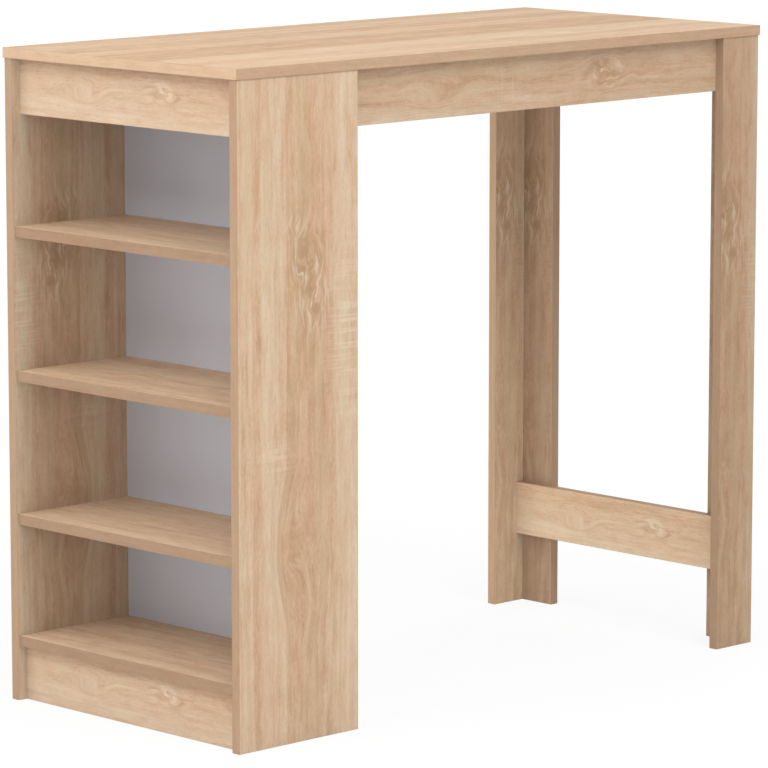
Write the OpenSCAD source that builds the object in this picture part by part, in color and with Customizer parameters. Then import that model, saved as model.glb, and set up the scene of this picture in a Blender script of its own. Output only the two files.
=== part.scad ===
// Bar table with an open shelf unit at one end and two angle legs at the other.
// Laminated boards, held together by cam locks, dowels, shelf pins and screws.
// X runs along the length with the shelf unit at -X, Y across the depth, Z up.
// The origin is on the floor, under the middle of the top.

/* [Overall] */
// Length over the side panels and legs, without the overhang of the top
frame_l = 1140; // [900:10:1500]
// Depth over the side panels and legs, without the overhang of the top
frame_d = 524; // [440:4:700]
// Height from the floor to the underside of the top
frame_h = 1000; // [950:5:1150]
// Thickness of every board but the top
board_t = 16; // [16:0.5:18]
// Thickness of the tabletop board
top_t = 16; // [16:1:28]
// Overhang of the tabletop on all four sides
top_overhang = 2; // [0:0.5:20]

/* [Shelf unit] */
// Width of the side panels along X
unit_w = 243; // [215:1:320]
// How far the front edges of the shelves stand back from the side panels
shelf_inset = 3; // [0:0.5:8]
// How far the plinth and the end apron stand back from the side panels
apron_inset = 16; // [10:1:24]
// Height of the plinth under the bottom shelf
plinth_h = 86; // [70:1:120]
// Clear height between the bottom shelf and the lower shelf
low_bay_h = 176; // [150:1:200]
// Clear height of each of the two bays above the lower shelf
mid_bay_h = 208; // [180:1:230]

/* [Rails and legs] */
// Height of the rails and the end apron under the top
rail_h = 86; // [70:1:110]
// Width of the leg boards that face front and rear
leg_face_w = 84; // [76:1:120]
// Width of the leg boards that stand across the table
leg_side_w = 68; // [54:1:100]
// Height of the stretcher board between the legs
stretcher_h = 89; // [60:1:120]
// Height of the stretcher's lower edge above the floor
stretcher_z = 118; // [60:1:220]

/* [Cam locks] */
// Distance from the end of a board to the middle of its cam
cam_reach = 24; // [24:0.5:34]
// Diameter of the bore that holds a cam
cam_bore_d = 15; // [14:0.5:16]
// Depth of the bore that holds a cam
cam_bore_depth = 12.5; // [12.5:0.5:13.5]
// Diameter of the bore for a cam bolt in the end of a board
bolt_bore_d = 8; // [7.5:0.5:8.5]
// Diameter of the screwed-in end of a cam bolt
bolt_thread_d = 5; // [4:0.5:6]
// Length of the screwed-in end of a cam bolt
bolt_thread_l = 11; // [8:0.5:12]

/* [Dowels, pins and screws] */
// Diameter of the wood dowels
dowel_d = 8; // [6:1:8]
// Length of the wood dowels
dowel_l = 30; // [26:1:34]
// Length of a dowel inside the board whose face it enters
dowel_face_l = 11; // [8:0.5:12]
// Diameter of the shelf pins
pin_d = 5; // [4:0.5:6]
// Length of a shelf pin inside the side panel
pin_in_l = 9; // [6:0.5:12]
// Length of a shelf pin under the shelf
pin_out_l = 8; // [5:0.5:12]
// Diameter of the collar of a shelf pin
pin_collar_d = 8; // [7:0.5:10]
// Diameter of the screws that hold the rails to the legs
screw_d = 4; // [3.5:0.5:5]
// Length of these screws
screw_l = 28; // [24:1:30]
// Diameter of the countersunk screw heads
screw_head_d = 8; // [7:0.5:9]

/* [Places of the joints] */
// Distance of the fittings from the lower or upper edge of a rail
rail_edge_gap = 22; // [18:1:28]
// Distance of a shelf's cams and pins from its front and back edge
shelf_edge_gap = 37; // [32:1:45]
// Distance between a cam and the dowel beside it
dowel_pitch = 32; // [25:1:40]
// Distance of the first and last top cam from the ends of a rail
top_cam_gap = 120; // [80:5:200]
// Height of the lowest joint between the back panel and a side panel
back_joint_z = 150; // [120:5:180]
// Distance between the joints of the back panel, cams and dowels in turn
back_joint_pitch = 175; // [150:5:180]
// Height of the lowest dowel between the two boards of a leg
leg_dowel_z = 60; // [40:5:90]
// Distance between the dowels of a leg
leg_dowel_pitch = 260; // [220:5:270]

/* [Fit] */
// Play of a dowel, pin, bolt or cam in its bore, on the diameter
bore_play = 0.2; // [0.1:0.05:0.4]
// Room left at the bottom of a blind bore
bore_end_room = 0.5; // [0.2:0.1:1]

/* [Hidden] */

// Looks of the materials
OAK_TOP = [0.89, 0.78, 0.65];
OAK = [0.84, 0.73, 0.60];
OAK_SHADE = [0.76, 0.64, 0.51];
WHITE_BOARD = [0.90, 0.89, 0.88];
ZINC = [0.72, 0.72, 0.70];
STEEL = [0.62, 0.63, 0.65];
BEECH = [0.86, 0.74, 0.55];

// Facets of the round shapes
$fn = 32;

// Directions
RIGHT = [1, 0, 0];
BACK = [0, 1, 0];
UP = [0, 0, 1];
SIDES = [-1, 1];

// Planes of the frame
x_min = -frame_l / 2;
x_max = frame_l / 2;
inner_d = frame_d - 2 * board_t;
back_x = x_min + unit_w - board_t;
apron_x = x_min + apron_inset;
leg_x = x_max - board_t;
cross_x = leg_x - board_t;
rail_z = frame_h - rail_h;
rail_y = (inner_d - board_t) / 2;
panel_y = (frame_d - board_t) / 2;

// Underside of each shelf
lower_z = plinth_h + board_t + low_bay_h;
middle_z = lower_z + board_t + mid_bay_h;
upper_z = middle_z + board_t + mid_bay_h;

// Cam: the bolt's head sits in a chamber on the cam's axis
cam_h = cam_bore_depth - bore_end_room;
head_d = 6.4;
head_l = 3;
neck_d = 3.4;
head_room = 0.6;
mouth_d = head_d + head_room;
chamber_d = mouth_d + head_room;
chamber_h = mouth_d + head_room / 2;
neck_slot = neck_d + head_room;
neck_turn = 30;
cam_turn = 110;
driver_slot_w = 1.6;
driver_slot_l = 9;
driver_slot_depth = 1.8;

// Cam bolt: thread, collar, shank, neck and head in one turned piece
collar_d = bolt_bore_d - 1;
collar_l = 1.6;
shank_d = 5.6;
tip = 0.8;
neck_start = cam_reach - cam_bore_d / 2 - 1;

// Dowel, pin and screw details
dowel_chamfer = 1;
pin_collar_l = 1.4;
screw_head_l = 2.6;
screw_tip_l = 4;
screw_slot = [1, 5, 1.2];

// Where the joints are along the shelves, the rails and the height
shelf_x = [x_min + shelf_inset + shelf_edge_gap, back_x - shelf_edge_gap];
shelf_dowel_x = [shelf_x[0] + dowel_pitch, shelf_x[1] - dowel_pitch];
rail_cam_z = rail_z + rail_edge_gap;
rail_dowel_z = frame_h - rail_edge_gap;
top_x_first = back_x + board_t + top_cam_gap;
top_x_last = leg_x - top_cam_gap;
top_x = [top_x_first, (top_x_first + top_x_last) / 2, top_x_last];
face_screw_x = x_max - leg_face_w + (leg_face_w - board_t - cam_reach - cam_bore_d / 2) / 2;
side_screw_y = (inner_d - board_t - leg_side_w) / 2;

// Each board is a box: its corner and its size
TABLETOP = [
    [x_min - top_overhang, -frame_d / 2 - top_overhang, frame_h],
    [frame_l + 2 * top_overhang, frame_d + 2 * top_overhang, top_t]
];
FRONT_SIDE_PANEL = [[x_min, -frame_d / 2, 0], [unit_w, board_t, frame_h]];
REAR_SIDE_PANEL = across(FRONT_SIDE_PANEL);
BACK_PANEL = [[back_x, -inner_d / 2, 0], [board_t, inner_d, frame_h]];
UPPER_SHELF = shelf_at(upper_z);
MIDDLE_SHELF = shelf_at(middle_z);
LOWER_SHELF = shelf_at(lower_z);
BOTTOM_SHELF = shelf_at(plinth_h);
PLINTH = [[apron_x, -inner_d / 2, 0], [board_t, inner_d, plinth_h]];
END_APRON = [[apron_x, -inner_d / 2, rail_z], [board_t, inner_d, rail_h]];
FRONT_RAIL = [
    [back_x + board_t, -inner_d / 2, rail_z],
    [leg_x - back_x - board_t, board_t, rail_h]
];
REAR_RAIL = across(FRONT_RAIL);
LEG_END_RAIL = [
    [cross_x, -inner_d / 2 + board_t, rail_z],
    [board_t, inner_d - 2 * board_t, rail_h]
];
FRONT_LEG_FACE = [[x_max - leg_face_w, -frame_d / 2, 0], [leg_face_w, board_t, frame_h]];
REAR_LEG_FACE = across(FRONT_LEG_FACE);
FRONT_LEG_SIDE = [[leg_x, -inner_d / 2, 0], [board_t, leg_side_w, frame_h]];
REAR_LEG_SIDE = across(FRONT_LEG_SIDE);
STRETCHER = [[cross_x, -inner_d / 2, stretcher_z], [board_t, inner_d, stretcher_h]];

// The same box on the other side of the table's middle plane
function across(box) = [
    [box[0].x, -box[0].y - box[1].y, box[0].z],
    box[1]
];

// A shelf of the unit with its underside at height z
function shelf_at(z) = [
    [x_min + shelf_inset, -inner_d / 2, z],
    [back_x - x_min - shelf_inset, inner_d, board_t]
];

// A joint is the point where its axis crosses the two boards' common face, the
// direction from the board whose face is bored into the board whose end is bored
// and, for a cam, the direction in which the cam's bore opens
CAM_JOINTS = [
    for (s = SIDES) each [
        for (z = [plinth_h, middle_z], x = shelf_x)
            [[x, s * inner_d / 2, z + board_t / 2], -s * BACK, -UP],
        for (z = [rail_edge_gap, rail_cam_z])
            [[apron_x + board_t / 2, s * inner_d / 2, z], -s * BACK, RIGHT],
        for (n = [0, 2, 4])
            [[back_x + board_t / 2, s * inner_d / 2, back_joint_z + n * back_joint_pitch], -s * BACK, RIGHT],
        [[back_x + board_t, s * rail_y, rail_cam_z], RIGHT, -s * BACK],
        [[leg_x, s * rail_y, rail_cam_z], -RIGHT, -s * BACK],
        for (x = top_x)
            [[x, s * rail_y, frame_h], -UP, -s * BACK]
    ],
    [[apron_x + board_t / 2, 0, frame_h], -UP, RIGHT],
    [[cross_x + board_t / 2, 0, frame_h], -UP, -RIGHT]
];

DOWEL_JOINTS = [
    for (s = SIDES) each [
        for (z = [plinth_h, middle_z], x = shelf_dowel_x)
            [[x, s * inner_d / 2, z + board_t / 2], -s * BACK],
        for (z = [plinth_h - rail_edge_gap, rail_dowel_z])
            [[apron_x + board_t / 2, s * inner_d / 2, z], -s * BACK],
        for (n = [1, 3])
            [[back_x + board_t / 2, s * inner_d / 2, back_joint_z + n * back_joint_pitch], -s * BACK],
        [[back_x + board_t, s * rail_y, rail_dowel_z], RIGHT],
        [[leg_x, s * rail_y, rail_dowel_z], -RIGHT],
        for (n = [0:3])
            [[leg_x + board_t / 2, s * inner_d / 2, leg_dowel_z + n * leg_dowel_pitch], -s * BACK],
        for (z = [stretcher_z + rail_edge_gap, stretcher_z + stretcher_h - rail_edge_gap])
            [[cross_x + board_t / 2, s * inner_d / 2, z], -s * BACK],
        for (x = [shelf_dowel_x[0], shelf_dowel_x[1], x_max - leg_face_w / 2])
            [[x, s * panel_y, frame_h], -UP]
    ]
];

// A screw's point is where it passes from the board under its head into the other
SCREW_JOINTS = [
    for (s = SIDES, z = [rail_cam_z, rail_dowel_z]) each [
        [[face_screw_x, s * inner_d / 2, z], s * BACK],
        [[leg_x, s * side_screw_y, z], RIGHT]
    ]
];

// A pin's point is on the side panel's face, its direction points out of the panel
PIN_JOINTS = [
    for (s = SIDES, z = [lower_z, upper_z], x = shelf_x)
        [[x, s * inner_d / 2, z - pin_d / 2], -s * BACK]
];

function between(low, value, high) = low - 0.01 <= value && value <= high + 0.01;

// True where a joint's point lies on or in a box
function meets(box, point) =
    between(box[0].x, point.x, box[0].x + box[1].x)
    && between(box[0].y, point.y, box[0].y + box[1].y)
    && between(box[0].z, point.z, box[0].z + box[1].z);

// Moves a shape to a point, with its Z axis turned to ahead and its X axis to side
module place(at, ahead, side) {
    other = cross(ahead, side);
    multmatrix([
        [side.x, other.x, ahead.x, at.x],
        [side.y, other.y, ahead.y, at.y],
        [side.z, other.z, ahead.z, at.z],
        [0, 0, 0, 1]
    ]) children();
}

// Any direction square to the given one
function square_to(dir) = abs(dir.z) > 0.5 ? RIGHT : UP;

// Bores of a cam joint in both boards: bolt thread, bolt shank and cam
module cam_joint_bores(joint) {
    place(joint[0], joint[1], joint[2]) {
        translate([0, 0, -bolt_thread_l - bore_end_room])
            cylinder(d = bolt_thread_d, h = bolt_thread_l + 2 * bore_end_room);
        cylinder(d = bolt_bore_d, h = cam_reach);
        translate([board_t / 2 + bore_end_room, 0, cam_reach])
            rotate([0, -90, 0])
                cylinder(d = cam_bore_d, h = cam_bore_depth + bore_end_room);
    }
}

// Bores of a dowel joint in both boards
module dowel_joint_bores(joint) {
    place(joint[0], joint[1], square_to(joint[1]))
        translate([0, 0, -dowel_face_l - bore_end_room])
            cylinder(d = dowel_d, h = dowel_l + 2 * bore_end_room);
}

// Bores of a screw joint: countersunk through bore and pilot bore
module screw_joint_bores(joint) {
    place(joint[0], joint[1], square_to(joint[1])) {
        translate([0, 0, -board_t - bore_end_room])
            cylinder(d = screw_d, h = screw_l + 2 * bore_end_room);
        translate([0, 0, -board_t])
            cylinder(d1 = screw_head_d, d2 = screw_d, h = screw_head_l);
    }
}

// Blind bore of a shelf pin
module pin_joint_bore(joint) {
    place(joint[0], joint[1], square_to(joint[1]))
        translate([0, 0, -pin_in_l - bore_end_room])
            cylinder(d = pin_d, h = pin_in_l + 2 * bore_end_room);
}

// A board with the bores of every joint that meets it
module board(box) {
    difference() {
        translate(box[0])
            cube(box[1]);
        for (joint = CAM_JOINTS)
            if (meets(box, joint[0])) cam_joint_bores(joint);
        for (joint = DOWEL_JOINTS)
            if (meets(box, joint[0])) dowel_joint_bores(joint);
        for (joint = SCREW_JOINTS)
            if (meets(box, joint[0])) screw_joint_bores(joint);
        for (joint = PIN_JOINTS)
            if (meets(box, joint[0])) pin_joint_bore(joint);
    }
}

// Cam lock: the open face at z = 0, the bolt comes in along the X axis
module cam_lock() {
    axis_z = -board_t / 2;
    difference() {
        translate([0, 0, -cam_bore_depth])
            cylinder(d = cam_bore_d - bore_play, h = cam_h);
        // Chamber in which the bolt's head turns free
        translate([0, 0, axis_z - chamber_h / 2])
            cylinder(d = chamber_d, h = chamber_h);
        // Slot that runs round the neck of the bolt as the cam turns
        translate([0, 0, axis_z - neck_slot / 2])
            linear_extrude(neck_slot)
                polygon([[0, 0], for (a = [-neck_turn, cam_turn / 2, cam_turn]) cam_bore_d * [cos(a), sin(a)]]);
        // Mouth that lets the head in
        rotate([0, 0, cam_turn])
            translate([0, 0, axis_z])
                rotate([0, 90, 0])
                    cylinder(d = mouth_d, h = cam_bore_d);
        // Cross recess for the screwdriver
        for (turn = [0, 90])
            rotate([0, 0, turn])
                translate([
                    -driver_slot_l / 2,
                    -driver_slot_w / 2,
                    cam_h - cam_bore_depth - driver_slot_depth
                ])
                    cube([driver_slot_l, driver_slot_w, driver_slot_depth + 1]);
    }
}

// Cam bolt: z = 0 is the face of the board that its thread is screwed into
module cam_bolt() {
    thread_r = (bolt_thread_d - bore_play) / 2;
    rotate_extrude()
        polygon([
            [0, -bolt_thread_l],
            [thread_r - tip, -bolt_thread_l],
            [thread_r, -bolt_thread_l + tip],
            [thread_r, 0],
            [collar_d / 2, 0],
            [collar_d / 2, collar_l],
            [shank_d / 2, collar_l + tip],
            [shank_d / 2, neck_start - tip],
            [neck_d / 2, neck_start],
            [neck_d / 2, cam_reach - head_l / 2],
            [head_d / 2, cam_reach - head_l / 2],
            [head_d / 2, cam_reach + head_l / 2 - tip],
            [head_d / 2 - tip, cam_reach + head_l / 2],
            [0, cam_reach + head_l / 2]
        ]);
}

// Wood dowel with chamfered ends: z = 0 is the common face of the two boards
module wood_dowel() {
    dowel_r = (dowel_d - bore_play) / 2;
    translate([0, 0, -dowel_face_l])
        rotate_extrude()
            polygon([
                [0, 0],
                [dowel_r - dowel_chamfer, 0],
                [dowel_r, dowel_chamfer],
                [dowel_r, dowel_l - dowel_chamfer],
                [dowel_r - dowel_chamfer, dowel_l],
                [0, dowel_l]
            ]);
}

// Shelf pin: z = 0 is the side panel's face, the flat that bears the shelf faces +X
module shelf_pin() {
    translate([0, 0, -pin_in_l])
        cylinder(d = pin_d - bore_play, h = pin_in_l + pin_collar_l);
    difference() {
        union() {
            cylinder(d = pin_collar_d, h = pin_collar_l);
            cylinder(d = pin_d + 1, h = pin_out_l);
        }
        translate([pin_d / 2, -pin_collar_d, -1])
            cube([pin_collar_d, 2 * pin_collar_d, pin_out_l + 2]);
    }
}

// Countersunk screw: z = 0 is where it passes from the first board into the second
module rail_screw() {
    shank_r = (screw_d - bore_play) / 2;
    head_r = (screw_head_d - bore_play) / 2;
    difference() {
        translate([0, 0, -board_t])
            rotate_extrude()
                polygon([
                    [0, 0],
                    [head_r, 0],
                    [shank_r, screw_head_l],
                    [shank_r, screw_l - screw_tip_l],
                    [0, screw_l]
                ]);
        for (turn = [0, 90])
            rotate([0, 0, turn])
                translate([-screw_slot.x / 2, -screw_slot.y / 2, -board_t - 1])
                    cube([screw_slot.x, screw_slot.y, screw_slot.z + 1]);
    }
}

module tabletop() color(OAK_TOP) board(TABLETOP);
module front_side_panel() color(OAK) board(FRONT_SIDE_PANEL);
module rear_side_panel() color(OAK) board(REAR_SIDE_PANEL);
module back_panel() color(WHITE_BOARD) board(BACK_PANEL);
module upper_shelf() color(OAK) board(UPPER_SHELF);
module middle_shelf() color(OAK) board(MIDDLE_SHELF);
module lower_shelf() color(OAK) board(LOWER_SHELF);
module bottom_shelf() color(OAK) board(BOTTOM_SHELF);
module plinth() color(OAK_TOP) board(PLINTH);
module end_apron() color(OAK_TOP) board(END_APRON);
module front_rail() color(OAK_SHADE) board(FRONT_RAIL);
module rear_rail() color(OAK_SHADE) board(REAR_RAIL);
module leg_end_rail() color(OAK_SHADE) board(LEG_END_RAIL);
module front_leg_face_board() color(OAK_SHADE) board(FRONT_LEG_FACE);
module front_leg_side_board() color(OAK_SHADE) board(FRONT_LEG_SIDE);
module rear_leg_face_board() color(OAK_SHADE) board(REAR_LEG_FACE);
module rear_leg_side_board() color(OAK_SHADE) board(REAR_LEG_SIDE);
module leg_stretcher() color(OAK) board(STRETCHER);

module cam_locks() color(ZINC)
    for (joint = CAM_JOINTS)
        place(joint[0] + cam_reach * joint[1] + board_t / 2 * joint[2], joint[2], -joint[1])
            cam_lock();

module cam_bolts() color(STEEL)
    for (joint = CAM_JOINTS)
        place(joint[0], joint[1], joint[2])
            cam_bolt();

module wood_dowels() color(BEECH)
    for (joint = DOWEL_JOINTS)
        place(joint[0], joint[1], square_to(joint[1]))
            wood_dowel();

module shelf_pins() color(STEEL)
    for (joint = PIN_JOINTS)
        place(joint[0], joint[1], UP)
            shelf_pin();

module rail_screws() color(STEEL)
    for (joint = SCREW_JOINTS)
        place(joint[0], joint[1], square_to(joint[1]))
            rail_screw();

tabletop();
front_side_panel();
rear_side_panel();
back_panel();
upper_shelf();
middle_shelf();
lower_shelf();
bottom_shelf();
plinth();
end_apron();
front_rail();
rear_rail();
leg_end_rail();
front_leg_face_board();
front_leg_side_board();
rear_leg_face_board();
rear_leg_side_board();
leg_stretcher();
cam_locks();
cam_bolts();
wood_dowels();
shelf_pins();
rail_screws();
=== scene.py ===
"""The bar table dressed for Blender, with soft light and the photograph's viewpoint.

Its boards are printed oak, its back panel is white laminate, its fittings are bare metal and beech.
"""

import math
from collections import namedtuple

import bpy
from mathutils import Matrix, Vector


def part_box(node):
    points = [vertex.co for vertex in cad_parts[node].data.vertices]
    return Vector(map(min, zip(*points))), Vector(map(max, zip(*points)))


MM = 0.001
AXES = {"x": 0, "y": 1, "z": 2}

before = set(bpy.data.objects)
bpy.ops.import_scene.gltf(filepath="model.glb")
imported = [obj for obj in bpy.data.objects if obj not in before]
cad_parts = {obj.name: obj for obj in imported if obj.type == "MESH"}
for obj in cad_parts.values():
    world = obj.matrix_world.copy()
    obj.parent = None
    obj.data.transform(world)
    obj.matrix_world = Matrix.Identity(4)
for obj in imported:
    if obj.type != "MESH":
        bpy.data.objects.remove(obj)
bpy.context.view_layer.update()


# Colours, written as they show on a screen

OAK_DEEP = (183, 144, 111)
OAK_DARK = (207, 170, 137)
OAK_MIDDLE = (220, 188, 156)
OAK_LIGHT = (227, 201, 171)
OAK_CREAM = (236, 218, 191)
OAK_PINK = (220, 178, 149)
OAK_SAND = (214, 188, 153)
OAK_PORE = (163, 128, 100)
ARRIS_LINE = (176, 142, 112)
CHIP_DARK = (150, 116, 80)
CHIP_LIGHT = (214, 184, 142)
# The back panel's two whites are tinted blue and lifted, as painted cool light for the shade in the shelf
# bays.
PANEL_WHITE_AND_COOL_LIGHT = (242, 241, 249)
SPECK_WHITE_AND_COOL_LIGHT = (240, 239, 247)
BEECH_DARK = (198, 160, 118)
BEECH_LIGHT = (226, 194, 154)
ZINC_DARK = (150, 151, 152)
ZINC_LIGHT = (186, 187, 188)
STEEL_DARK = (160, 163, 168)
STEEL_LIGHT = (204, 206, 210)
FLOOR_DARK = (240, 240, 240)
FLOOR_LIGHT = (244, 244, 244)


def linear(colour):
    """A screen colour of 0 to 255 as the linear colour that a shader takes."""
    steps = [c / 255 for c in colour]
    return tuple(s / 12.92 if s <= 0.04045 else ((s + 0.055) / 1.055) ** 2.4 for s in steps) + (1.0,)


def grey(value):
    """A linear grey."""
    return (value, value, value, 1.0)


# Short calls for building node trees


class Graph:
    """Adds nodes to one tree and links what it is given."""

    def __init__(self, tree):
        self.tree = tree

    def feed(self, socket, value):
        """Links another node's socket to this one, or sets its value."""
        if isinstance(value, bpy.types.NodeSocket):
            self.tree.links.new(value, socket)
        else:
            socket.default_value = value

    def add(self, kind, inputs=None, **settings):
        """A shader node with its settings, fed by the names of its sockets."""
        node = self.tree.nodes.new("ShaderNode" + kind)
        for name, value in settings.items():
            setattr(node, name, value)
        for name, value in (inputs or {}).items():
            self.feed(node.inputs[name], value)
        return node

    def math(self, operation, *values, clamp=False):
        """The result of a sum on values."""
        node = self.add("Math", operation=operation, use_clamp=clamp)
        for socket, value in zip(node.inputs, values):
            self.feed(socket, value)
        return node.outputs[0]

    def vector_math(self, operation, *values):
        """The result of a sum on vectors."""
        node = self.add("VectorMath", operation=operation)
        for socket, value in zip(node.inputs, values):
            self.feed(socket, value)
        return node.outputs["Value" if operation == "LENGTH" else "Vector"]

    def scale(self, vector, factor):
        """The vector, made longer or shorter by factor."""
        sockets = {"Vector": vector, "Scale": factor}
        return self.add("VectorMath", sockets, operation="SCALE").outputs["Vector"]

    def split(self, vector):
        """The three parts of a vector."""
        return self.add("SeparateXYZ", {"Vector": vector}).outputs

    def join(self, x, y, z):
        """The vector of three parts."""
        return self.add("CombineXYZ", {"X": x, "Y": y, "Z": z}).outputs[0]

    def blend(self, factor, a, b):
        """The colour a where factor is 0 and b where it is 1."""
        node = self.add("Mix", data_type="RGBA")
        for index, value in ((0, factor), (6, a), (7, b)):
            self.feed(node.inputs[index], value)
        return node.outputs[2]

    def blend_vectors(self, factor, a, b):
        """The vector a where factor is 0 and b where it is 1."""
        node = self.add("Mix", data_type="VECTOR")
        for index, value in ((0, factor), (4, a), (5, b)):
            self.feed(node.inputs[index], value)
        return node.outputs[1]

    def span(self, value, low, high, to_low=0.0, to_high=1.0, smooth=False):
        """value moved from the range low to high onto to_low to to_high, and held there."""
        sockets = {"Value": value, "From Min": low, "From Max": high}
        sockets.update({"To Min": to_low, "To Max": to_high})
        kind = "SMOOTHSTEP" if smooth else "LINEAR"
        return self.add("MapRange", sockets, interpolation_type=kind, clamp=True).outputs[0]

    def noise(self, place, grains, detail=1.0, roughness=0.5, shift=(0.0, 0.0, 0.0), output="Fac"):
        """Noise of 0 to 1 with so many grains to the metre: one number, or one for each axis of place."""
        stretch = grains if isinstance(grains, tuple) else (grains, grains, grains)
        sockets = {"Vector": place, "Scale": stretch, "Location": shift}
        moved = self.add("Mapping", sockets, vector_type="POINT").outputs[0]
        sockets = {"Vector": moved, "Scale": 1.0, "Detail": detail, "Roughness": roughness}
        return self.add("TexNoise", sockets).outputs[output]

    def centred(self, noise):
        """Noise of 0 to 1 moved to -0.5 to 0.5."""
        return self.math("SUBTRACT", noise, 0.5)

    def ramp(self, value, stops):
        """A colour ramp through stops of (place, linear colour)."""
        node = self.add("ValToRGB", {"Fac": value})
        points = node.color_ramp.elements
        while len(points) < len(stops):
            points.new(1.0)
        for point, (place, colour) in zip(points, stops):
            point.position = place
            point.color = colour
        return node.outputs[0]


def new_group(name, inputs, outputs):
    """A shader node group of (name, kind) sockets: the group, its graph, its inputs and its outputs."""
    tree = bpy.data.node_groups.new(name, "ShaderNodeTree")
    for label, kind in inputs:
        tree.interface.new_socket(label, in_out="INPUT", socket_type="NodeSocket" + kind)
    for label, kind in outputs:
        tree.interface.new_socket(label, in_out="OUTPUT", socket_type="NodeSocket" + kind)
    given = tree.nodes.new("NodeGroupInput").outputs
    made = tree.nodes.new("NodeGroupOutput").inputs
    return tree, Graph(tree), given, made


def group_node(g, tree, sockets):
    """The outputs of one use of a node group."""
    node = g.tree.nodes.new("ShaderNodeGroup")
    node.node_tree = tree
    for name, value in sockets.items():
        g.feed(node.inputs[name], value)
    return node.outputs


def new_material(name):
    """An empty Principled material: the material, its graph and its shader."""
    material = bpy.data.materials.new(name)
    material.use_nodes = True
    return material, Graph(material.node_tree), material.node_tree.nodes["Principled BSDF"]


# Most of a noise's values lie in NOISE_SPAN, and a mottled colour changes between MOTTLE_STOPS

NOISE_SPAN = (0.3, 0.7)
MOTTLE_STOPS = (0.35, 0.65)


def mottled(g, noise, dark, light, stops=MOTTLE_STOPS):
    """A colour that changes from dark to light with a noise."""
    return g.ramp(noise, [(stops[0], linear(dark)), (stops[1], linear(light))])


def roughen(g, shader, noise, least, most):
    """Lets a noise change the shader's roughness."""
    g.feed(shader.inputs["Roughness"], g.span(noise, *NOISE_SPAN, least, most))


def bump(g, shader, height, strength, depth):
    """Lets a height of 0 to 1 stand out of the shader's surface by depth."""
    node = g.add("Bump", {"Height": height, "Strength": strength, "Distance": depth})
    g.feed(shader.inputs["Normal"], node.outputs[0])


# The printed oak, in metres along the grain, across it and into the board.
# Its patterns are noises, with the number of grains to the metre along those three.

WAVES = {"grains": (1.9, 8, 8)}
RIPPLES = {"grains": (15, 34, 34)}
BANDS = {"grains": (1.4, 30, 30), "roughness": 0.45}
STREAKS = {"grains": (7.5, 105, 105), "detail": 1.5, "roughness": 0.6, "shift": (3.1, 0.7, 0.2)}
FIBRES = {"grains": (30, 430, 430), "detail": 1.5, "roughness": 0.6, "shift": (1.3, 4.1, 2.2)}
BLOTCHES = {"grains": (24, 52, 52), "detail": 2.0, "roughness": 0.6, "shift": (6.3, 2.4, 0.9)}
FLECKS = {"grains": (140, 330, 330), "shift": (2.7, 5.2, 1.1)}
WARMTH = {"grains": (2.2, 58, 58), "detail": 1.5, "shift": (7.7, 1.9, 5.3)}
SAW_LINES = {"grains": (170, 11, 11), "shift": (0.4, 2.5, 0.0)}
CURLS = {"grains": (30, 170, 170), "shift": (5.9, 0.3, 3.8)}
PORES = {"grains": (60, 1500, 1500), "shift": (2.2, 8.4, 1.6)}
SWIRLS = {"grains": (32, 52, 52), "detail": 1.5, "output": "Color"}
WANDERS = {"grains": (20, 24, 24), "shift": (2.2, 6.1, 0.4), "output": "Color"}

# How far the grain strays across the board
WAVE = 18 * MM
RIPPLE = 4.8 * MM

# How much each pattern lightens or darkens the print
BAND_TONE = 0.38
STREAK_TONE = 0.6
FIBRE_TONE = 0.34
BLOTCH_TONE = 0.5
FLECK_TONE = 0.3

# The range of its noise over which a tint sets in, and how much of the tint is laid on at most
PINK_SPAN = (0.5, 0.68)
PINK_SHARE = 0.3
SAND_SPAN = (0.5, 0.34)
SAND_SHARE = 0.4
SAW_SPAN = (0.48, 0.6)
SAW_SHARE = 0.6
LIGHT_CURL_SPAN = (0.53, 0.62)
LIGHT_CURL_SHARE = 0.75
DARK_CURL_SPAN = (0.47, 0.36)
DARK_CURL_SHARE = 0.6
PORE_SPAN = (0.62, 0.72)
PORE_SHARE = 0.32

# The print's tones, from the darkest to the lightest, and its middle one
TONES = [(0.0, OAK_DEEP), (0.3, OAK_DARK), (0.5, OAK_MIDDLE), (0.7, OAK_LIGHT), (1.0, OAK_CREAM)]
MIDDLE_TONE = 0.5

# The surface of the laminate
LAMINATE_GLOSS = 0.1
LAMINATE_ROUGHNESS = (0.48, 0.58)
LAMINATE_BUMP = 0.5
LAMINATE_RELIEF = 0.12 * MM
FIBRE_HEIGHT = 0.6
SAW_HEIGHT = 0.5


def tinted(g, colour, tint, share, *masks):
    """The colour with a share of the tint laid on where all masks are 1."""
    mask = masks[0]
    for other in masks[1:]:
        mask = g.math("MULTIPLY", mask, other, clamp=True)
    return g.blend(g.math("MULTIPLY", mask, share), colour, linear(tint))


def bent_grain(g, place):
    """The place with its grain swaying in long waves and short ripples."""
    wave = g.math("MULTIPLY", g.centred(g.noise(place, **WAVES)), WAVE)
    ripple = g.math("MULTIPLY", g.centred(g.noise(place, **RIPPLES)), RIPPLE)
    return g.vector_math("ADD", place, g.join(0.0, g.math("ADD", wave, ripple), 0.0))


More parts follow.
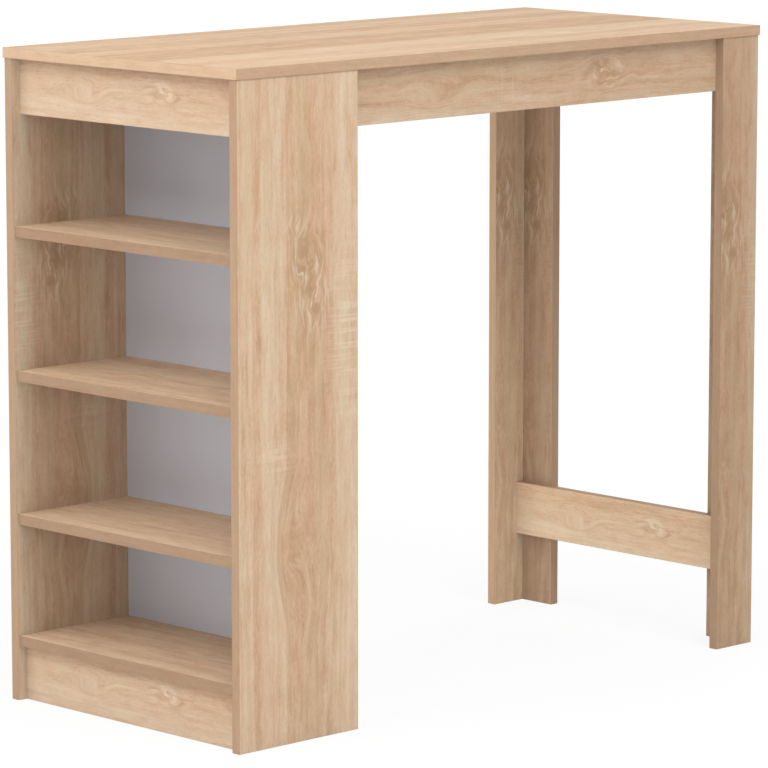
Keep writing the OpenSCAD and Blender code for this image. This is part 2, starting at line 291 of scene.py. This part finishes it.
def print_group():
    """The oak print itself: bands, streaks, fibres, pores, saw marks and curls in the figures."""
    inputs = [("place", "Vector"), ("curled", "Float"), ("sawn", "Float"), ("tone", "Float")]
    outputs = [("colour", "Color"), ("roughness", "Float"), ("height", "Float")]
    tree, g, given, made = new_group("oak_print", inputs, outputs)
    bent = bent_grain(g, given["place"])
    streaks = g.noise(bent, **STREAKS)
    fibres = g.noise(bent, **FIBRES)
    toned = (
        (g.noise(bent, **BANDS), BAND_TONE),
        (streaks, STREAK_TONE),
        (fibres, FIBRE_TONE),
        (g.noise(bent, **BLOTCHES), BLOTCH_TONE),
        (g.noise(bent, **FLECKS), FLECK_TONE),
    )
    tone = given["tone"]
    for pattern, strength in toned:
        tone = g.math("MULTIPLY_ADD", g.centred(pattern), strength, tone)
    colour = g.ramp(tone, [(at, linear(shown)) for at, shown in TONES])

    warmth = g.noise(bent, **WARMTH)
    colour = tinted(g, colour, OAK_PINK, PINK_SHARE, g.span(warmth, *PINK_SPAN))
    colour = tinted(g, colour, OAK_SAND, SAND_SHARE, g.span(warmth, *SAND_SPAN))
    saw = g.math("MULTIPLY", g.span(g.noise(given["place"], **SAW_LINES), *SAW_SPAN), given["sawn"])
    colour = tinted(g, colour, OAK_CREAM, SAW_SHARE, saw)
    curls = g.noise(bent, **CURLS)
    light_curls = g.span(curls, *LIGHT_CURL_SPAN)
    dark_curls = g.span(curls, *DARK_CURL_SPAN)
    colour = tinted(g, colour, OAK_CREAM, LIGHT_CURL_SHARE, light_curls, given["curled"])
    colour = tinted(g, colour, OAK_DEEP, DARK_CURL_SHARE, dark_curls, given["curled"])
    pores = g.span(g.noise(bent, **PORES), *PORE_SPAN)
    colour = tinted(g, colour, OAK_PORE, PORE_SHARE, pores)

    relief = g.math("SUBTRACT", g.math("MULTIPLY", fibres, FIBRE_HEIGHT), pores)
    g.feed(made["colour"], colour)
    g.feed(made["roughness"], g.span(streaks, *NOISE_SPAN, *LAMINATE_ROUGHNESS))
    g.feed(made["height"], g.math("MULTIPLY_ADD", saw, SAW_HEIGHT, relief))
    return tree


# Figures of the print, such as a knot, a feather or saw marks. Arches nest along the grain by
# ARCH_PITCH, are rounded at their tip by ARCH_ROUND and fade out over ARCH_SPAN.

FIGURE_DEFAULTS = {
    "arch": 0.0,
    "spread": 0.3,
    "swirl": 0.0,
    "curls": 0.0,
    "saw_marks": 0.0,
    "darkening": 0.0,
}
MARKS = ("curled", "sawn", "shade")
ARCH_PITCH = 0.21
ARCH_ROUND = 4 * MM
ARCH_SPAN = (0.1, 1.3)
WANDER = 34 * MM


def ellipse(g, offset, given):
    """How far out of a figure a point lies: 0 at its centre, 1 on its ellipse."""
    along = g.math("DIVIDE", offset[0], given["half_length"])
    across = g.math("DIVIDE", offset[1], given["half_width"])
    return g.math("ADD", g.math("MULTIPLY", along, along), g.math("MULTIPLY", across, across))


def arched(g, offset, outward, given):
    """How far a figure moves the grain across the board to make it run in nested arches."""
    wander = g.split(g.noise(given["place"], **WANDERS))
    side = g.math("MULTIPLY_ADD", g.centred(wander[0]), WANDER, offset[1])
    side = g.math("SQRT", g.math("MULTIPLY_ADD", side, side, ARCH_ROUND * ARCH_ROUND))
    nested = g.math("MULTIPLY_ADD", side, given["spread"], g.math("MULTIPLY", offset[0], ARCH_PITCH))
    nested = g.math("MULTIPLY_ADD", g.centred(wander[1]), WANDER * ARCH_PITCH, nested)
    weight = g.math("MULTIPLY", g.span(outward, *ARCH_SPAN, 1.0, 0.0, smooth=True), given["arch"])
    return g.math("MULTIPLY", weight, g.math("SUBTRACT", nested, offset[1]))


def figure_group():
    """Bends the grain round one figure and marks its curls, saw marks and darker wood."""
    passed = [("place", "Vector")] + [(mark, "Float") for mark in MARKS]
    inputs = passed + [("centre", "Vector"), ("half_length", "Float"), ("half_width", "Float")]
    inputs += [(strength, "Float") for strength in FIGURE_DEFAULTS]
    tree, g, given, made = new_group("oak_figure", inputs, passed)
    offset = g.split(g.vector_math("SUBTRACT", given["place"], given["centre"]))
    outward = ellipse(g, offset, given)
    mask = g.math("EXPONENT", g.math("MULTIPLY", outward, -1.0))
    swirl = g.math("MULTIPLY", mask, given["swirl"])
    turn = g.split(g.noise(given["place"], **SWIRLS))
    push = g.math("MULTIPLY_ADD", g.centred(turn[0]), swirl, arched(g, offset, outward, given))
    pull = g.math("MULTIPLY", g.centred(turn[1]), swirl)
    curls = g.math("MULTIPLY", mask, given["curls"])
    saw_marks = g.math("MULTIPLY", mask, given["saw_marks"])
    g.feed(made["place"], g.vector_math("ADD", given["place"], g.join(pull, push, 0.0)))
    g.feed(made["curled"], g.math("MAXIMUM", given["curled"], curls))
    g.feed(made["sawn"], g.math("MAXIMUM", given["sawn"], saw_marks))
    g.feed(made["shade"], g.math("MULTIPLY_ADD", mask, given["darkening"], given["shade"]))
    return tree


# A point deeper than BORE_DEPTH inside its board's box lies in a bore. An arris is darker out to
# ARRIS_NEAR and as light as the rest from ARRIS_FAR.

BORE_DEPTH = 0.25 * MM
ARRIS_NEAR = 0.5 * MM
ARRIS_FAR = 0.9 * MM


def hull_group():
    """How a point lies in its board's own box: inside it, as in a bore, or near an arris."""
    inputs = [("place", "Vector"), ("centre", "Vector"), ("half", "Vector")]
    outputs = [("bore", "Float"), ("arris", "Float")]
    tree, g, given, made = new_group("board_hull", inputs, outputs)
    offset = g.vector_math("ABSOLUTE", g.vector_math("SUBTRACT", given["place"], given["centre"]))
    depth = g.split(g.vector_math("SUBTRACT", given["half"], offset))
    lower = g.math("MINIMUM", depth[0], depth[1])
    upper = g.math("MAXIMUM", depth[0], depth[1])
    least = g.math("MINIMUM", lower, depth[2])
    second = g.math("MAXIMUM", lower, g.math("MINIMUM", upper, depth[2]))
    g.feed(made["bore"], g.math("GREATER_THAN", least, BORE_DEPTH))
    g.feed(made["arris"], g.span(second, ARRIS_NEAR, ARRIS_FAR, 1.0, 0.0))
    return tree


FIGURE = figure_group()
PRINT = print_group()
HULL = hull_group()


# How the print and the other looks of a board come together. The edge bands are cut from
# the print at places of their own, given across it and into it.

EDGE_FACING = 0.7
LONG_BAND_START = 3.0
LONG_BAND_DEPTH = 0.31
END_BAND_START = 5.0
END_BAND_DEPTH = 0.67
BAND_CALM = 0.5
ARRIS_SHARE = 0.3
CHIPS = {"grains": 420, "detail": 2.0}
CHIP_STOPS = (0.35, 0.62)
BOUNCE_GREY = 0.6
BOUNCE_LIGHT = 0.8


def board_axes(grain, size):
    """The axes along the grain of a board, across it and through the board."""
    along = AXES[grain]
    through = min(AXES.values(), key=lambda axis: size[axis])
    return along, sum(AXES.values()) - along - through, through


def place_on_board(g, board, lo, hi):
    """The point itself, its place in the print, and whether it lies on a long edge band or an end one."""
    along, across, through = board_axes(board.grain, hi - lo)
    middle = (lo + hi) / 2
    coords = g.add("TexCoord").outputs
    point = g.split(coords["Object"])
    facing = g.split(g.vector_math("ABSOLUTE", coords["Normal"]))
    long_edge = g.math("GREATER_THAN", facing[across], EDGE_FACING)
    end_edge = g.math("GREATER_THAN", facing[along], EDGE_FACING)
    start = lo[along] if board.grain == "z" else middle[along]
    u = g.math("SUBTRACT", point[along], start + board.shift[0])
    u = g.math("MULTIPLY_ADD", u, board.turns[0], board.sheet.start)
    v = g.math("SUBTRACT", point[across], middle[across] + board.shift[1])
    v = g.math("MULTIPLY", v, board.turns[1])
    on_long = g.join(u, g.math("ADD", point[through], LONG_BAND_START), LONG_BAND_DEPTH)
    on_end = g.join(point[across], g.math("ADD", point[through], END_BAND_START), END_BAND_DEPTH)
    place = g.blend_vectors(long_edge, g.join(u, v, 0.0), on_long)
    place = g.blend_vectors(end_edge, place, on_end)
    return coords["Object"], place, long_edge, end_edge


def figured(g, place, sheet):
    """The place with its grain bent round the sheet's figures, and the marks that they leave."""
    marks = {mark: 0.0 for mark in MARKS}
    for centre, settings in sheet.figures:
        middle = (sheet.start + centre[0], centre[1], 0.0)
        made = group_node(g, FIGURE, {"place": place, "centre": middle, **settings, **marks})
        place = made["place"]
        marks = {mark: made[mark] for mark in MARKS}
    return place, marks


def strip_tone(g, place, strips):
    """The print's tone at a place, from the lighter and darker strips across the board."""
    if not strips:
        return MIDDLE_TONE
    first, last = strips[0][0], strips[-1][0]
    stops = [((at - first) / (last - first), grey(tone)) for at, tone in strips]
    return g.ramp(g.span(g.split(place)[1], first, last), stops)


def banded_and_painted_light(g, colour, long_edge, end_edge, shades):
    """The printed colour times the board's shades, which are painted light and shade on its faces and
    bands, and calmer on its edge bands.
    """
    band = g.math("MULTIPLY", g.math("MAXIMUM", long_edge, end_edge), BAND_CALM)
    colour = g.blend(band, colour, linear(OAK_MIDDLE))
    shade = g.blend_vectors(long_edge, shades.face, shades.long_band)
    shade = g.blend_vectors(end_edge, shade, shades.end_band)
    return g.vector_math("MULTIPLY", colour, shade)


def cut(g, colour, here, lo, hi):
    """The colour with the darker line of the arrises, and raw chipboard in the bores."""
    box = {"place": here, "centre": tuple((lo + hi) / 2), "half": tuple((hi - lo) / 2)}
    hull = group_node(g, HULL, box)
    colour = tinted(g, colour, ARRIS_LINE, ARRIS_SHARE, hull["arris"])
    chips = mottled(g, g.noise(here, **CHIPS), CHIP_DARK, CHIP_LIGHT, CHIP_STOPS)
    return g.blend(hull["bore"], colour, chips)


def muted_bounce(g, colour):
    """The colour, with the light that a board passes on to its neighbours greyer and weaker."""
    plain = g.add("RGBToBW", {"Color": colour}).outputs[0]
    passed = g.scale(g.blend(BOUNCE_GREY, colour, plain), BOUNCE_LIGHT)
    return g.blend(g.add("LightPath").outputs["Is Diffuse Ray"], colour, passed)


def oak(name, board):
    """The printed laminate of one board."""
    lo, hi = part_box(name)
    material, g, shader = new_material("oak_" + name)
    here, place, long_edge, end_edge = place_on_board(g, board, lo, hi)
    place, marks = figured(g, place, board.sheet)
    tone = g.math("SUBTRACT", strip_tone(g, place, board.sheet.strips), marks.pop("shade"))
    printed = group_node(g, PRINT, {"place": place, "tone": tone, **marks})
    # Painted light and shade: the board's faces and bands take their own lighter or darker shades.
    colour = banded_and_painted_light(g, printed["colour"], long_edge, end_edge, board.shades)
    colour = cut(g, colour, here, lo, hi)
    g.feed(shader.inputs["Base Color"], muted_bounce(g, colour))
    g.feed(shader.inputs["Roughness"], printed["roughness"])
    g.feed(shader.inputs["Specular IOR Level"], LAMINATE_GLOSS)
    bump(g, shader, printed["height"], LAMINATE_BUMP, LAMINATE_RELIEF)
    return material


# The sheets of print. A sheet starts at a place of its own along the endless print, which gives
# it its own grain. Its figures lie from that start, as (along the grain, across it) in metres. Its
# strips are stops across the grain, as (place in metres, tone of 0 to 1).

Sheet = namedtuple("Sheet", "start figures strips")


def figure(centre, half_length, half_width, **strengths):
    """One figure of a sheet: its centre, and the settings of its node group."""
    size = {"half_length": half_length, "half_width": half_width}
    return centre, {**size, **FIGURE_DEFAULTS, **strengths}


LONG_FIGURES = (
    figure((0.668, 0.006), 0.046, 0.028, arch=0.35, swirl=0.02, curls=1.1),
    figure((0.73, -0.006), 0.045, 0.034, arch=0.7, spread=0.16, swirl=0.028, curls=1.1, darkening=0.2),
    figure((0.775, -0.034), 0.02, 0.016, swirl=0.03, curls=0.8),
    figure((0.29, -0.015), 0.13, 0.065, arch=0.45, spread=0.6),
    figure((0.605, 0.075), 0.11, 0.032, saw_marks=1.0),
    figure((0.435, -0.075), 0.025, 0.035, saw_marks=0.6),
)
LONG_STRIPS = (
    (-0.150, 0.54),
    (-0.120, 0.56),
    (-0.115, 0.40),
    (-0.103, 0.42),
    (-0.098, 0.58),
    (-0.051, 0.59),
    (-0.049, 0.38),
    (0.024, 0.36),
    (0.032, 0.46),
    (0.044, 0.48),
    (0.054, 0.64),
    (0.120, 0.64),
)
SHORT_FIGURES = (
    figure((-0.008, 0.006), 0.042, 0.018, arch=0.5, spread=0.2, swirl=0.024, curls=0.9),
    figure((0.023, 0.002), 0.009, 0.007, swirl=0.02, darkening=0.3),
    figure((-0.19, 0.0), 0.06, 0.03, arch=0.7, spread=0.4),
)
SHORT_STRIPS = (
    (-0.045, 0.60),
    (-0.012, 0.62),
    (-0.004, 0.50),
    (0.018, 0.50),
    (0.030, 0.42),
    (0.045, 0.42),
)
RAIL_FIGURES = (
    figure((0.655, 0.004), 0.055, 0.03, arch=0.5, spread=0.16, swirl=0.035, curls=0.9, darkening=0.1),
    figure((0.275, 0.0), 0.07, 0.03, arch=0.6, spread=0.5),
    figure((0.43, 0.0), 0.04, 0.03, saw_marks=0.4),
)
RAIL_STRIPS = (
    (-0.045, 0.58),
    (-0.024, 0.56),
    (-0.020, 0.44),
    (0.016, 0.42),
    (0.024, 0.52),
    (0.045, 0.50),
)
TOP_FIGURES = (
    figure((-0.252, 0.006), 0.05, 0.02, arch=0.6, spread=0.16, swirl=0.03, curls=0.6, darkening=0.25),
    figure((0.25, -0.12), 0.16, 0.05, arch=0.7, spread=0.5),
    figure((-0.45, 0.13), 0.14, 0.04, arch=0.7, spread=0.5),
)
TOP_STRIPS = (
    (-0.264, 0.52),
    (-0.200, 0.54),
    (-0.192, 0.44),
    (-0.150, 0.46),
    (-0.142, 0.62),
    (-0.080, 0.60),
    (-0.074, 0.30),
    (0.044, 0.30),
    (0.050, 0.54),
    (0.100, 0.54),
    (0.106, 0.36),
    (0.154, 0.36),
    (0.160, 0.56),
    (0.213, 0.54),
    (0.220, 0.38),
    (0.264, 0.40),
)

LONG_SHEET = Sheet(4.9, LONG_FIGURES, LONG_STRIPS)
SHORT_SHEET = Sheet(6.3, SHORT_FIGURES, SHORT_STRIPS)
RAIL_SHEET = Sheet(1.7, RAIL_FIGURES, RAIL_STRIPS)
TOP_SHEET = Sheet(0.0, TOP_FIGURES, TOP_STRIPS)
PLAIN_SHEET = Sheet(0.0, (), ())


# Painted light and shade: each board's print is multiplied by lighter or darker shades for its faces and
# its edge bands,
# # standing in for how the light falls on that board, so one laminate comes in lit and shaded copies. The
# edge bands
# # are a darker colour of their own, with painted shade on top of it.

Shades = namedtuple("Shades", "face long_band end_band")

# Edge bands: their own darker colour, with painted shade added.
PANEL_BAND_AND_SHADE = (0.77, 0.705, 0.67)
SHELF_BAND_AND_SHADE = (0.68, 0.625, 0.6)
LEG_BAND_AND_SHADE = (0.72, 0.655, 0.62)
PANEL_PAINTED_SHADES = Shades((1.02, 1.02, 1.02), PANEL_BAND_AND_SHADE, PANEL_BAND_AND_SHADE)
SHORT_PAINTED_SHADES = Shades((1.05, 1.02, 1.02), PANEL_BAND_AND_SHADE, PANEL_BAND_AND_SHADE)
RAIL_PAINTED_SHADES = Shades((0.96, 0.94, 0.94), PANEL_BAND_AND_SHADE, PANEL_BAND_AND_SHADE)
# The stretcher is painted lighter, as if it stood in open light rather than in the shade of the shelf
# unit and tabletop.
STRETCHER_PAINTED_SHADES = Shades((1.31, 1.3, 1.26), PANEL_BAND_AND_SHADE, PANEL_BAND_AND_SHADE)
# The shelves are painted lighter against the shade inside the bays.
SHELF_PAINTED_SHADES = Shades((1.2, 1.19, 1.18), SHELF_BAND_AND_SHADE, SHELF_BAND_AND_SHADE)
# The tabletop's face is painted darker and its end edges lighter, for how the light falls on them.
TOP_PAINTED_SHADES = Shades((0.9, 0.875, 0.83), (0.9, 0.865, 0.865), (1.09, 1.1, 1.11))
# The front leg is painted darker and the rear leg's face lighter: painted shade and painted light.
FRONT_LEG_PAINTED_SHADES = Shades((0.855, 0.83, 0.815), LEG_BAND_AND_SHADE, LEG_BAND_AND_SHADE)
REAR_LEG_FACE_PAINTED_SHADES = Shades((1.14, 1.15, 1.14), (0.97, 0.89, 0.82), LEG_BAND_AND_SHADE)
REAR_LEG_SIDE_PAINTED_SHADES = Shades((0.87, 0.84, 0.81), LEG_BAND_AND_SHADE, LEG_BAND_AND_SHADE)


# Each oak board: the axis of its grain, the shift of its sheet along the grain and across it, which
# # way the sheet runs along both, its sheet, and its painted light and band shades. The shift is measured
# from the board's
# # middle, but from its foot along the grain of an upright board.

Board = namedtuple("Board", "grain shift turns sheet shades")

STRAIGHT = (1, 1)
REVERSED = (-1, 1)
MIRRORED = (1, -1)

OAK_BOARDS = {
    "tabletop": Board("x", (0.0, 0.0), STRAIGHT, TOP_SHEET, TOP_PAINTED_SHADES),
    "front_side_panel": Board("z", (0.0, 0.0255), STRAIGHT, LONG_SHEET, PANEL_PAINTED_SHADES),
    "rear_side_panel": Board("z", (0.0, -0.0385), MIRRORED, LONG_SHEET, PANEL_PAINTED_SHADES),
    "front_leg_face_board": Board("z", (0.0, -0.024), STRAIGHT, LONG_SHEET, FRONT_LEG_PAINTED_SHADES),
    "front_leg_side_board": Board("z", (0.0, 0.002), STRAIGHT, LONG_SHEET, FRONT_LEG_PAINTED_SHADES),
    "rear_leg_face_board": Board("z", (0.0, -0.026), STRAIGHT, LONG_SHEET, REAR_LEG_FACE_PAINTED_SHADES),
    "rear_leg_side_board": Board("z", (0.0, 0.014), MIRRORED, LONG_SHEET, REAR_LEG_SIDE_PAINTED_SHADES),
    "front_rail": Board("x", (-0.5435, 0.0), STRAIGHT, RAIL_SHEET, RAIL_PAINTED_SHADES),
    "rear_rail": Board("x", (-0.3135, 0.0), STRAIGHT, RAIL_SHEET, RAIL_PAINTED_SHADES),
    "end_apron": Board("y", (-0.09, 0.005), REVERSED, SHORT_SHEET, SHORT_PAINTED_SHADES),
    "plinth": Board("y", (-0.09, 0.009), REVERSED, SHORT_SHEET, SHORT_PAINTED_SHADES),
    "leg_stretcher": Board("y", (-0.08, 0.0005), REVERSED, SHORT_SHEET, STRETCHER_PAINTED_SHADES),
    "leg_end_rail": Board("y", (0.1, 0.0), STRAIGHT, SHORT_SHEET, SHORT_PAINTED_SHADES),
    "upper_shelf": Board("y", (3.3, 0.655), STRAIGHT, PLAIN_SHEET, SHELF_PAINTED_SHADES),
    "middle_shelf": Board("y", (4.6, 1.355), STRAIGHT, PLAIN_SHEET, SHELF_PAINTED_SHADES),
    "lower_shelf": Board("y", (6.1, 2.155), STRAIGHT, PLAIN_SHEET, SHELF_PAINTED_SHADES),
    "bottom_shelf": Board("y", (8.4, 2.655), STRAIGHT, PLAIN_SHEET, SHELF_PAINTED_SHADES),
}


# The other materials

WHITE_CLOUDS = {"grains": 9, "detail": 3.0}
ORANGE_PEEL = {"grains": 900}
BEECH_GRAIN = {"grains": 260, "detail": 3.0}
BEECH_FLECKS = {"grains": 900}
FLECK_SPAN = (0.6, 0.7)
FLECK_SHARE = 0.5
ZINC_GRAINS = 700
STEEL_GRAINS = 1100
METAL_CHANGE = 0.12


def white_laminate():
    """The smooth white face of the back panel, with the faint orange peel that such a face has, its white
    tinted blue and lifted as painted cool light.
    """
    material, g, shader = new_material("white_laminate")
    here = g.add("TexCoord").outputs["Object"]
    clouds = g.noise(here, **WHITE_CLOUDS)
    peel = g.noise(here, **ORANGE_PEEL)
    g.feed(shader.inputs["Base Color"], mottled(g, clouds, SPECK_WHITE_AND_COOL_LIGHT, PANEL_WHITE_AND_COOL_LIGHT))
    roughen(g, shader, peel, least=0.42, most=0.5)
    bump(g, shader, peel, strength=0.25, depth=0.05 * MM)
    return material


def metal(name, dark, light, grains, roughness):
    """A bare metal with fine mottling."""
    material, g, shader = new_material(name)
    here = g.add("TexCoord").outputs["Object"]
    mottle = g.noise(here, grains, detail=3.0)
    g.feed(shader.inputs["Base Color"], mottled(g, mottle, dark, light))
    g.feed(shader.inputs["Metallic"], 1.0)
    roughen(g, shader, mottle, least=roughness, most=roughness + METAL_CHANGE)
    bump(g, shader, mottle, strength=0.3, depth=0.05 * MM)
    return material


def beech():
    """Raw turned beech with short dark flecks."""
    material, g, shader = new_material("beech")
    here = g.add("TexCoord").outputs["Object"]
    grain = g.noise(here, **BEECH_GRAIN)
    flecks = g.span(g.noise(here, **BEECH_FLECKS), *FLECK_SPAN)
    colour = mottled(g, grain, BEECH_DARK, BEECH_LIGHT)
    g.feed(shader.inputs["Base Color"], tinted(g, colour, CHIP_DARK, FLECK_SHARE, flecks))
    roughen(g, shader, grain, least=0.6, most=0.75)
    bump(g, shader, grain, strength=0.4, depth=0.1 * MM)
    return material


def dress(name, material):
    """Gives every slot of a CAD node one material."""
    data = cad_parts[name].data
    if not data.materials:
        data.materials.append(material)
    for index in range(len(data.materials)):
        data.materials[index] = material


for name, board in OAK_BOARDS.items():
    dress(name, oak(name, board))
dress("back_panel", white_laminate())
dress("cam_locks", metal("zinc", ZINC_DARK, ZINC_LIGHT, ZINC_GRAINS, roughness=0.42))
steel = metal("steel", STEEL_DARK, STEEL_LIGHT, STEEL_GRAINS, roughness=0.28)
for name in ("cam_bolts", "shelf_pins", "rail_screws"):
    dress(name, steel)
dress("wood_dowels", beech())


# Floor and surroundings. To the camera the floor glows white and keeps a share of the shadow,
# SHADOW_KEPT out to SHADOW_NEAR from the middle and none from SHADOW_FAR.

WHITE = grey(1.0)
FLOOR_RADIUS = 60.0
FLOOR_DROP = 0.2 * MM
FLOOR_CLOUDS = {"grains": 3, "detail": 2.0}
FLOOR_ROUGHNESS = 0.9
FLOOR_GLOW = 1.03
SHADOW_KEPT = 0.14
SHADOW_NEAR = 0.9
SHADOW_FAR = 2.6
WORLD_LIGHT = 0.36


def seen_directly(g):
    """1 for rays from the camera, a mirror or glass, and 0 for every other ray."""
    path = g.add("LightPath").outputs
    seen = g.math("MAXIMUM", path["Is Camera Ray"], path["Is Glossy Ray"])
    return g.math("MAXIMUM", seen, path["Is Transmission Ray"])


def floor_material():
    """A pale floor that glows white to the camera but keeps a share of the shadow."""
    material, g, shader = new_material("floor")
    here = g.add("TexCoord").outputs["Object"]
    clouds = g.noise(here, **FLOOR_CLOUDS)
    g.feed(shader.inputs["Base Color"], mottled(g, clouds, FLOOR_DARK, FLOOR_LIGHT, NOISE_SPAN))
    g.feed(shader.inputs["Roughness"], FLOOR_ROUGHNESS)
    g.feed(shader.inputs["Specular IOR Level"], 0.0)
    glow = g.add("Emission", {"Color": WHITE, "Strength": FLOOR_GLOW})
    distance = g.vector_math("LENGTH", here)
    kept = g.span(distance, SHADOW_NEAR, SHADOW_FAR, SHADOW_KEPT, 0.0)
    mix = g.add("MixShader")
    g.feed(mix.inputs[0], g.math("MULTIPLY", seen_directly(g), g.math("SUBTRACT", 1.0, kept)))
    g.feed(mix.inputs[1], shader.outputs[0])
    g.feed(mix.inputs[2], glow.outputs[0])
    g.feed(g.tree.nodes["Material Output"].inputs["Surface"], mix.outputs[0])
    return material


def make_floor():
    """One large square under the table."""
    mesh = bpy.data.meshes.new("floor")
    corners = [(-1, -1), (1, -1), (1, 1), (-1, 1)]
    points = [(x * FLOOR_RADIUS, y * FLOOR_RADIUS, -FLOOR_DROP) for x, y in corners]
    mesh.from_pydata(points, [], [range(len(points))])
    mesh.materials.append(floor_material())
    floor = bpy.data.objects.new("floor", mesh)
    bpy.context.scene.collection.objects.link(floor)


def make_world():
    """Even light from all round, and a white background."""
    world = bpy.data.worlds.new("surroundings")
    world.use_nodes = True
    bpy.context.scene.world = world
    g = Graph(world.node_tree)
    background = world.node_tree.nodes["Background"].inputs
    g.feed(background["Color"], WHITE)
    g.feed(background["Strength"], g.span(seen_directly(g), 0.0, 1.0, WORLD_LIGHT, 1.0))


# Lamps: square areas of the given size, each shining from its place at its target

Lamp = namedtuple("Lamp", "place target size watts")

TABLE_MIDDLE = (0.0, 0.0, 0.5)
LAMPS = {
    "left_rear": Lamp((-3.2, 3.0, 2.0), TABLE_MIDDLE, 2.0, 23.0),
    "left_side": Lamp((-3.6, 1.6, 1.2), (-0.2, 0.0, 0.5), 2.0, 6.0),
    "left_top": Lamp((-2.8, 0.0, 3.4), TABLE_MIDDLE, 2.0, 44.0),
    "left_front": Lamp((-3.2, -3.2, 2.0), TABLE_MIDDLE, 2.0, 7.0),
    "left_near": Lamp((-1.9, -2.2, 1.4), (-0.3, 0.0, 0.5), 1.2, 6.0),
    "front_top": Lamp((-0.5, -2.6, 3.6), TABLE_MIDDLE, 2.0, 59.0),
    "top": Lamp((0.0, 0.0, 4.2), TABLE_MIDDLE, 2.5, 21.0),
    "right_side": Lamp((3.4, 0.8, 1.8), (0.3, 0.0, 0.5), 2.0, 24.0),
}


def make_lamp(name, lamp):
    """One lamp in its place, turned to its target."""
    data = bpy.data.lights.new(name, "AREA")
    data.shape = "SQUARE"
    data.size = lamp.size
    data.energy = lamp.watts
    shown = bpy.data.objects.new(name, data)
    shown.location = lamp.place
    shown.rotation_mode = "QUATERNION"
    shown.rotation_quaternion = (Vector(lamp.target) - Vector(lamp.place)).to_track_quat("-Z", "Y")
    bpy.context.scene.collection.objects.link(shown)


# The photograph's viewpoint, with its turns in radians

PICTURE_PIXELS = 768.0
FOCAL_PIXELS = 4678.0
SENSOR = 36.0
CAMERA_PLACE = (-5.12256, -5.24687, 1.62016)
CAMERA_YAW = 0.7717
CAMERA_PITCH = 0.1565
CAMERA_REACH = 200.0


def make_camera():
    """The photograph's viewpoint."""
    data = bpy.data.cameras.new("camera")
    data.sensor_width = SENSOR
    data.lens = FOCAL_PIXELS / PICTURE_PIXELS * SENSOR
    data.clip_end = CAMERA_REACH
    camera = bpy.data.objects.new("camera", data)
    camera.location = CAMERA_PLACE
    camera.rotation_euler = (math.pi / 2 - CAMERA_PITCH, 0.0, -CAMERA_YAW)
    bpy.context.scene.collection.objects.link(camera)
    bpy.context.scene.camera = camera


make_floor()
make_world()
for name, lamp in LAMPS.items():
    make_lamp(name, lamp)
make_camera()
bpy.context.scene.view_settings.view_transform = "Standard"
